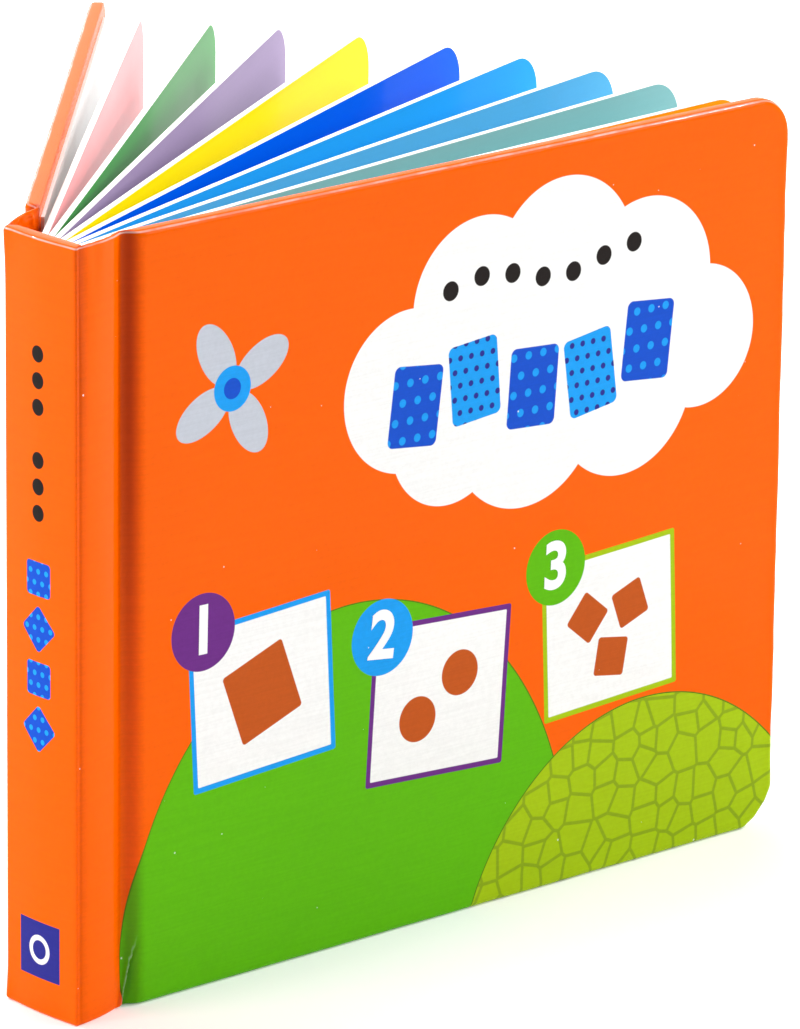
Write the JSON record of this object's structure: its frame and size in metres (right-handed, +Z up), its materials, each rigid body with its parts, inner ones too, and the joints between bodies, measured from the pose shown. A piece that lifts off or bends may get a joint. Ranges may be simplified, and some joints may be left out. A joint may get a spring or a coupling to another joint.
{
  "type": "board book",
  "caption": "Padded hardback board book standing upright with its covers and thick rounded leaves fanned open; both covers hinge at their grooves.",
  "frame": {"origin": "middle of the foot of the bounding box, on the surface that the book stands on", "axes": "+Z up from the book's foot to its head; +X from the spine towards the fore edge, roughly along the front cover; +Y from the front cover towards the back cover"},
  "size_m": [0.213, 0.177, 0.178],
  "materials": {
    "cover_print": "gloss",
    "cover_board": "matte",
    "cover_foam": "matte",
    "end_paper": "gloss",
    "page_board": "gloss"
  },
  "bodies": {
    "spine": {"spine_wrap": "cover_print", "spine_board": "cover_board", "page_block": "page_board"},
    "front_cover": {"front_wrap": "cover_print", "front_padding": "cover_foam", "front_board": "cover_board", "front_pastedown": "end_paper"},
    "back_cover": {"back_wrap": "cover_print", "back_padding": "cover_foam", "back_board": "cover_board", "back_pastedown": "end_paper"}
  },
  "joints": [
    {"name": "front_cover_hinge", "type": "hinge", "parent": "spine", "child": "front_cover", "pos_m": [-0.08999, -0.07791, 0], "axis": [0, 0, 1], "range_deg": [-88, 2]},
    {"name": "back_cover_hinge", "type": "hinge", "parent": "spine", "child": "back_cover", "pos_m": [-0.09081, -0.05155, 0], "axis": [0, 0, 1], "range_deg": [-1.5, 45]}
  ]
}
